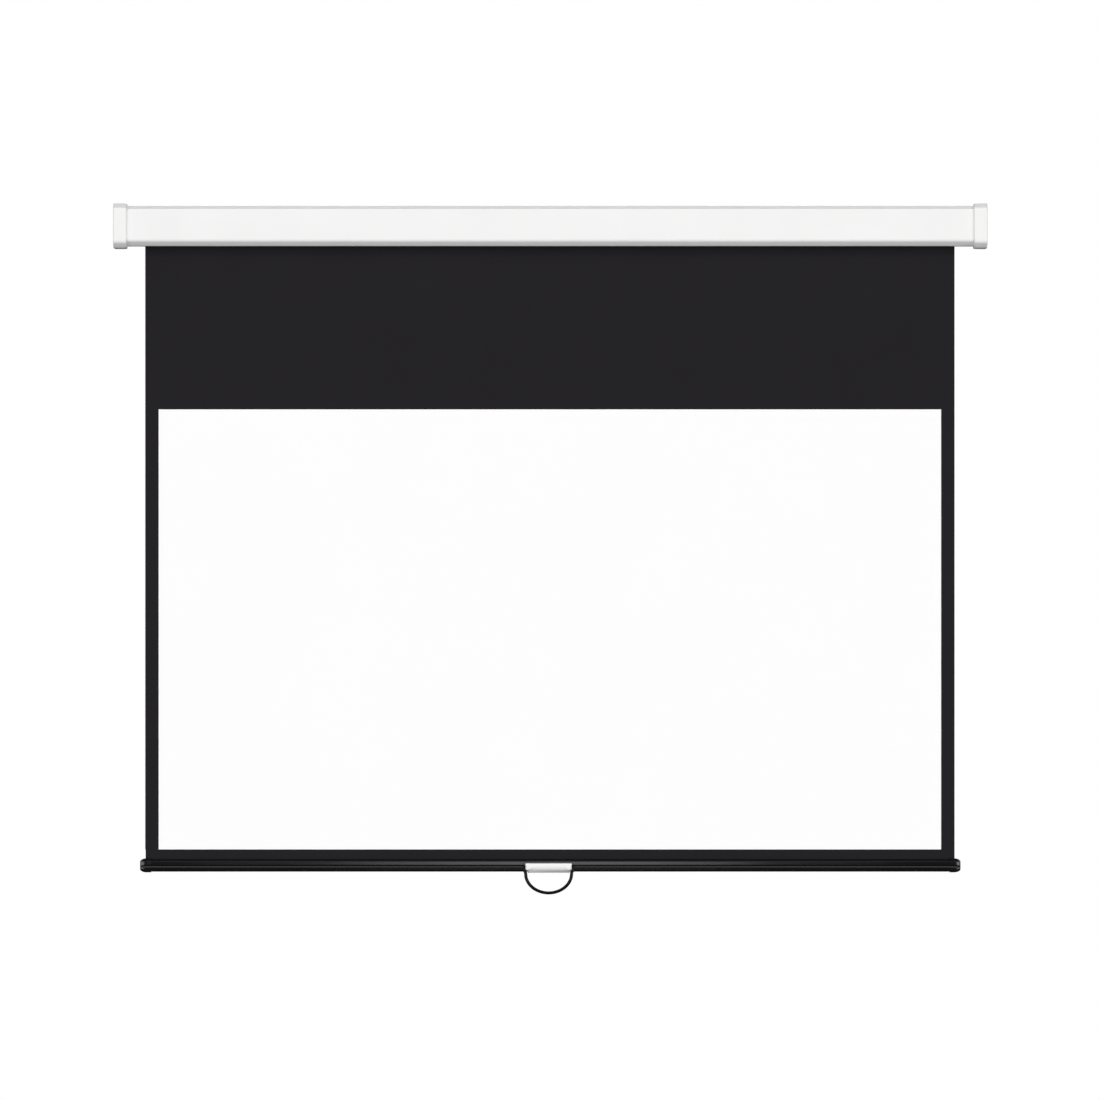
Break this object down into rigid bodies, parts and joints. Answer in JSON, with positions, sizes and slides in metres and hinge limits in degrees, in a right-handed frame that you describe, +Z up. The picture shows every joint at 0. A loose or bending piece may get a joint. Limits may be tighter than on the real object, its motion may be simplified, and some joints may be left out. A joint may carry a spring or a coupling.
{
  "type": "pull down projector screen",
  "caption": "Manual pull down projection screen: white wall case with a spring roller, black bordered white cloth, weighted bottom bar and pull bail.",
  "frame": {"origin": "middle of the case's flat back face, which lies against the wall", "axes": "+X to the right seen from the front, +Y into the wall, +Z up; the screen faces -Y and hangs fully drawn down"},
  "size_m": [2.074, 0.094, 1.6407],
  "materials": {
    "case_paint": "white powder coat, satin",
    "cap_plastic": "white moulded plastic, satin",
    "zinc_steel": "zinc plated steel",
    "bare_aluminium": "extruded, bare",
    "spring_steel": "oiled spring steel",
    "nylon": "natural nylon",
    "black_cloth": "black coated screen cloth",
    "white_cloth": "matt white projection coating",
    "bar_paint": "black powder coat, semi-gloss",
    "bar_cap_plastic": "black moulded plastic",
    "handle_plastic": "white moulded plastic",
    "bail_plastic": "black coated wire"
  },
  "bodies": {
    "case": {"case_shell": "case_paint", "end_cap_left": "cap_plastic", "end_cap_right": "cap_plastic", "end_bracket_left": "zinc_steel", "end_bracket_right": "zinc_steel", "screen_cloth": "black_cloth", "projection_surface": "white_cloth", "spear_shaft": "zinc_steel", "ratchet_wheel": "spring_steel", "torsion_spring": "spring_steel", "spring_cone": "nylon", "idler_pin": "zinc_steel", "bracket_screw_left_upper": "zinc_steel", "bracket_screw_left_lower": "zinc_steel", "cap_screw_left_upper": "zinc_steel", "cap_screw_left_lower": "zinc_steel", "bracket_screw_right_upper": "zinc_steel", "bracket_screw_right_lower": "zinc_steel", "cap_screw_right_upper": "zinc_steel", "cap_screw_right_lower": "zinc_steel"},
    "roller": {"roller_tube": "bare_aluminium", "cloth_spline": "nylon", "cloth_wraps": "black_cloth", "idler_plug": "nylon", "idler_bush": "nylon", "pawl_carrier": "zinc_steel", "spring_anchor": "nylon", "pawl_pin_a": "zinc_steel", "pawl_pin_b": "zinc_steel"},
    "pawl_a": {"pawl_a": "spring_steel"},
    "pawl_b": {"pawl_b": "spring_steel"},
    "bottom_bar": {"bar_extrusion": "bar_paint", "bar_cap_left": "bar_cap_plastic", "bar_cap_right": "bar_cap_plastic", "bottom_hem": "black_cloth", "hem_rod": "zinc_steel", "handle_clip": "handle_plastic", "clip_screw_left": "zinc_steel", "clip_screw_right": "zinc_steel"},
    "bail": {"bail": "bail_plastic"}
  },
  "joints": [
    {"name": "bar_travel", "type": "slide", "parent": "case", "child": "bottom_bar", "axis": [0, 0, 1], "range_m": [0, 1.452], "deforming": ["screen_cloth", "projection_surface"]},
    {"name": "roller_spin", "type": "hinge", "parent": "case", "child": "roller", "pos_m": [0, -0.044, 0.004], "axis": [1, 0, 0], "range_deg": [-1, 3691]},
    {"name": "pawl_a_swing", "type": "hinge", "parent": "roller", "child": "pawl_a", "pos_m": [0.9906, -0.03726, 0.01627], "axis": [1, 0, 0], "range_deg": [0, 22]},
    {"name": "pawl_b_swing", "type": "hinge", "parent": "roller", "child": "pawl_b", "pos_m": [0.9906, -0.05074, -0.00827], "axis": [1, 0, 0], "range_deg": [0, 22]},
    {"name": "bail_swing", "type": "hinge", "parent": "bottom_bar", "child": "bail", "pos_m": [-0.004, -0.03805, -1.5235], "axis": [-1, 0, 0], "range_deg": [-8, 90]}
  ],
  "couplings": [
    {"joint": "roller_spin", "follows": "bar_travel", "rad_per_m": 44.354}
  ]
}
